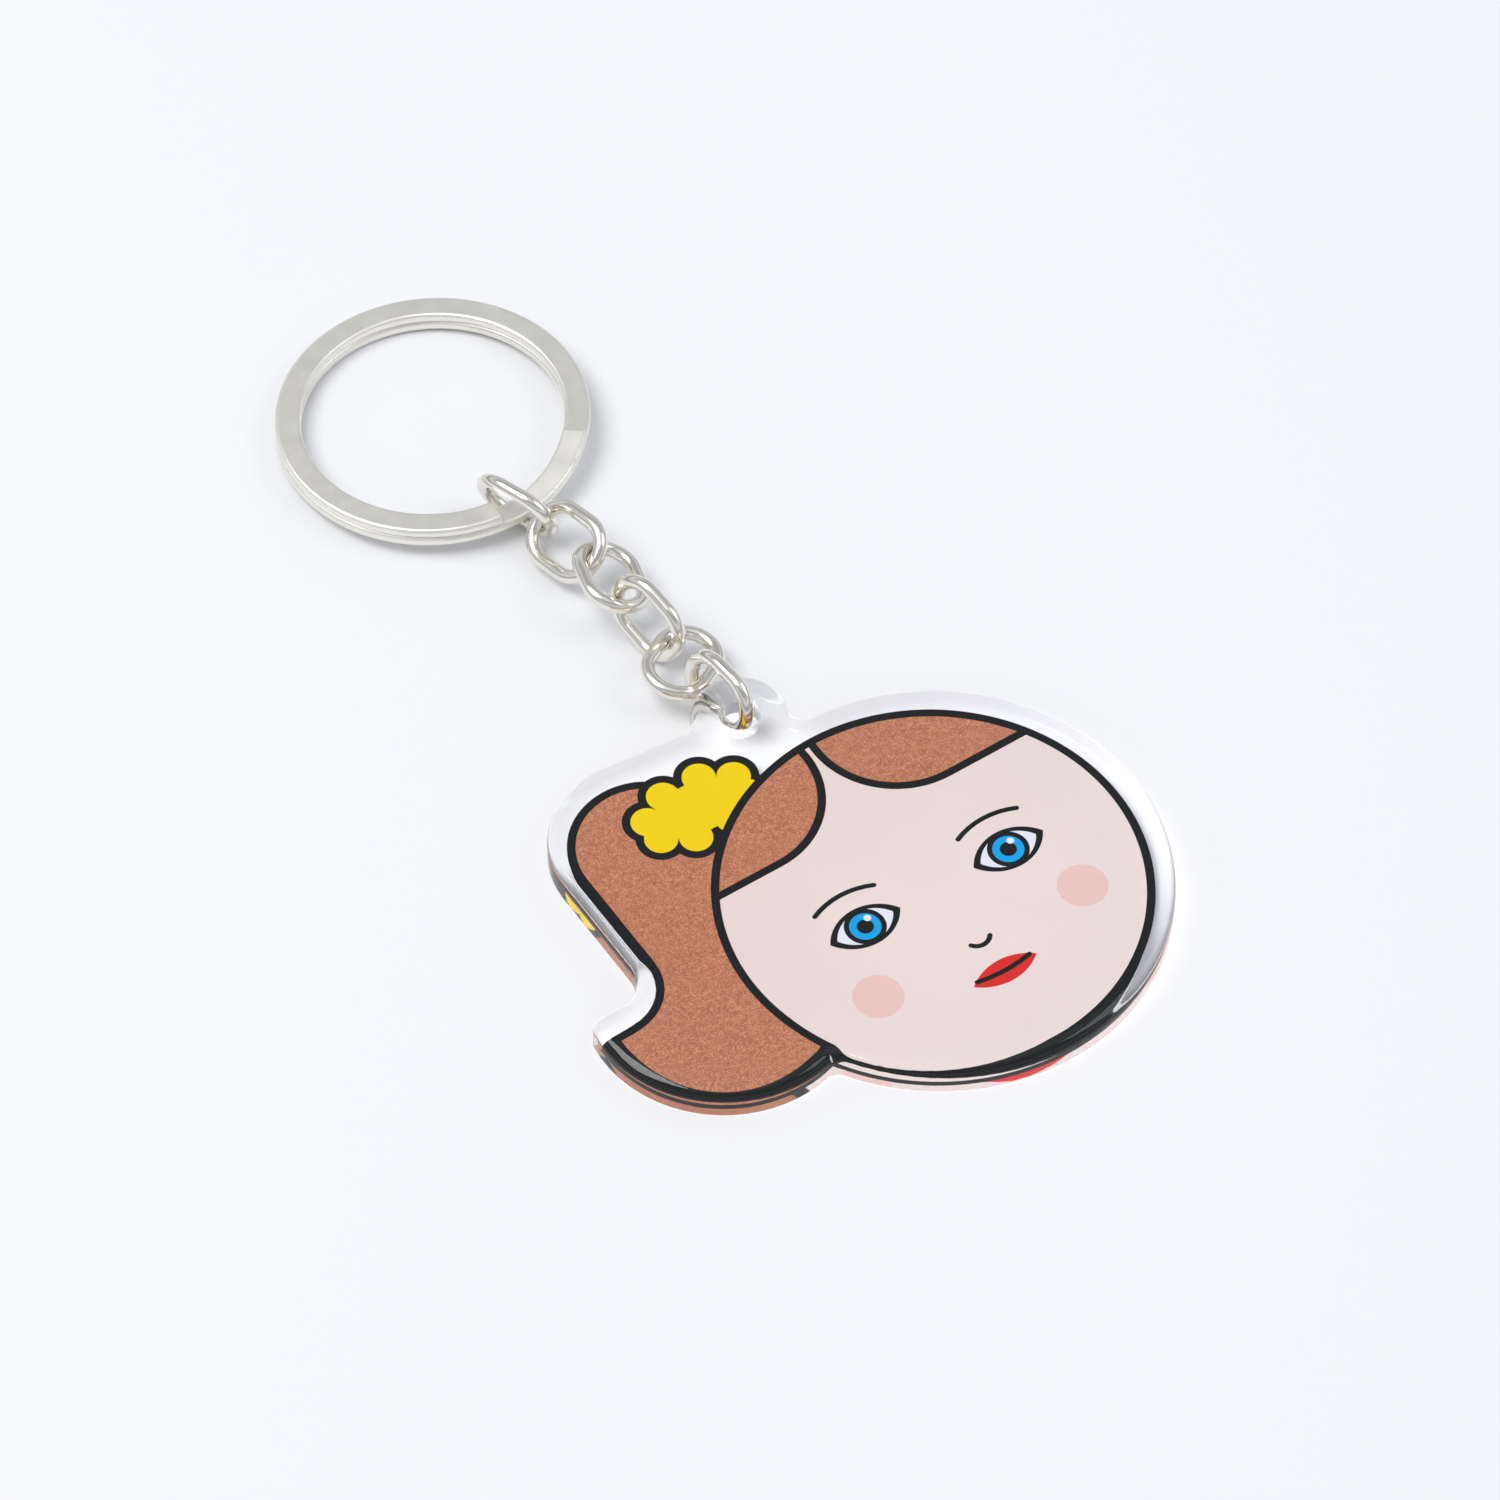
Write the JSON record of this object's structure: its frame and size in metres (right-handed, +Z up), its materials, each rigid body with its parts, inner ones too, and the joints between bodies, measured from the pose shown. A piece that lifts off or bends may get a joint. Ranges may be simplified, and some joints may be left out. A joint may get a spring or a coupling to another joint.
{
  "type": "keychain",
  "caption": "Souvenir keychain: a clear cartoon head charm printed on its back, on a short oval link chain and a split ring.",
  "frame": {"origin": "centre of the charm's round head, on its back face", "axes": "+Y up the printed face towards the chain, +X to the face's right, +Z up from the table; the charm leans a little about the origin"},
  "size_m": [0.0582, 0.1099, 0.0076],
  "materials": {
    "split_ring": "satin nickel",
    "link_1": "bright nickel",
    "link_2": "bright nickel",
    "link_3": "bright nickel",
    "link_4": "bright nickel",
    "link_5": "bright nickel",
    "jump_ring": "bright nickel",
    "clear_plate": "clear, polished edge",
    "clear_dome": "clear, glossy",
    "backing_ink": "printed ink",
    "line_ink": "printed ink",
    "skin_ink": "printed ink",
    "cheek_ink": "printed ink",
    "hair_ink": "printed ink, fine metallic grain",
    "fringe_ink": "printed ink, fine metallic grain",
    "hair_tie_ink": "printed ink",
    "eye_white_ink": "printed ink",
    "iris_ink": "printed ink",
    "lip_ink": "printed ink"
  },
  "bodies": {
    "charm": {"clear_plate": "clear_plate", "clear_dome": "clear_dome", "backing_ink": "backing_ink", "line_ink": "line_ink", "skin_ink": "skin_ink", "cheek_ink": "cheek_ink", "hair_ink": "hair_ink", "fringe_ink": "fringe_ink", "hair_tie_ink": "hair_tie_ink", "eye_white_ink": "eye_white_ink", "iris_ink": "iris_ink", "lip_ink": "lip_ink"},
    "jump_ring_body": {"jump_ring": "jump_ring"},
    "link_5_body": {"link_5": "link_5"},
    "link_4_body": {"link_4": "link_4"},
    "link_3_body": {"link_3": "link_3"},
    "link_2_body": {"link_2": "link_2"},
    "link_1_body": {"link_1": "link_1"},
    "split_ring_body": {"split_ring": "split_ring"}
  },
  "joints": [
    {"name": "jump_ring_turn", "type": "hinge", "parent": "charm", "child": "jump_ring_body", "pos_m": [-0.00439, 0.02531, 0.00279], "axis": [-0.0145, -0.0296, 0.9995], "range_deg": [-7, 30]},
    {"name": "link_5_swing", "type": "hinge", "parent": "jump_ring_body", "child": "link_5_body", "pos_m": [-0.00522, 0.03312, 0.00207], "axis": [0.2232, 0.266, 0.9378], "range_deg": [-45, 2]},
    {"name": "link_4_swing", "type": "hinge", "parent": "link_5_body", "child": "link_4_body", "pos_m": [-0.00515, 0.03782, 0.00232], "axis": [0.945, 0.294, -0.1434], "range_deg": [-48, 48]},
    {"name": "link_3_swing", "type": "hinge", "parent": "link_4_body", "child": "link_3_body", "pos_m": [-0.00644, 0.04396, 0.00322], "axis": [0.241, 0.1398, 0.9604], "range_deg": [-48, 48]},
    {"name": "link_2_swing", "type": "hinge", "parent": "link_3_body", "child": "link_2_body", "pos_m": [-0.00587, 0.0501, 0.00325], "axis": [0.9049, 0.2457, -0.3476], "range_deg": [-12, 28]},
    {"name": "link_1_swing", "type": "hinge", "parent": "link_2_body", "child": "link_1_body", "pos_m": [-0.00719, 0.05628, 0.00227], "axis": [0.766, 0.1731, 0.6191], "range_deg": [-48, 48]},
    {"name": "split_ring_swing", "type": "hinge", "parent": "link_1_body", "child": "split_ring_body", "pos_m": [-0.00941, 0.06222, 0.00268], "axis": [0.2426, 0.0594, -0.9683], "range_deg": [-48, 3]}
  ]
}
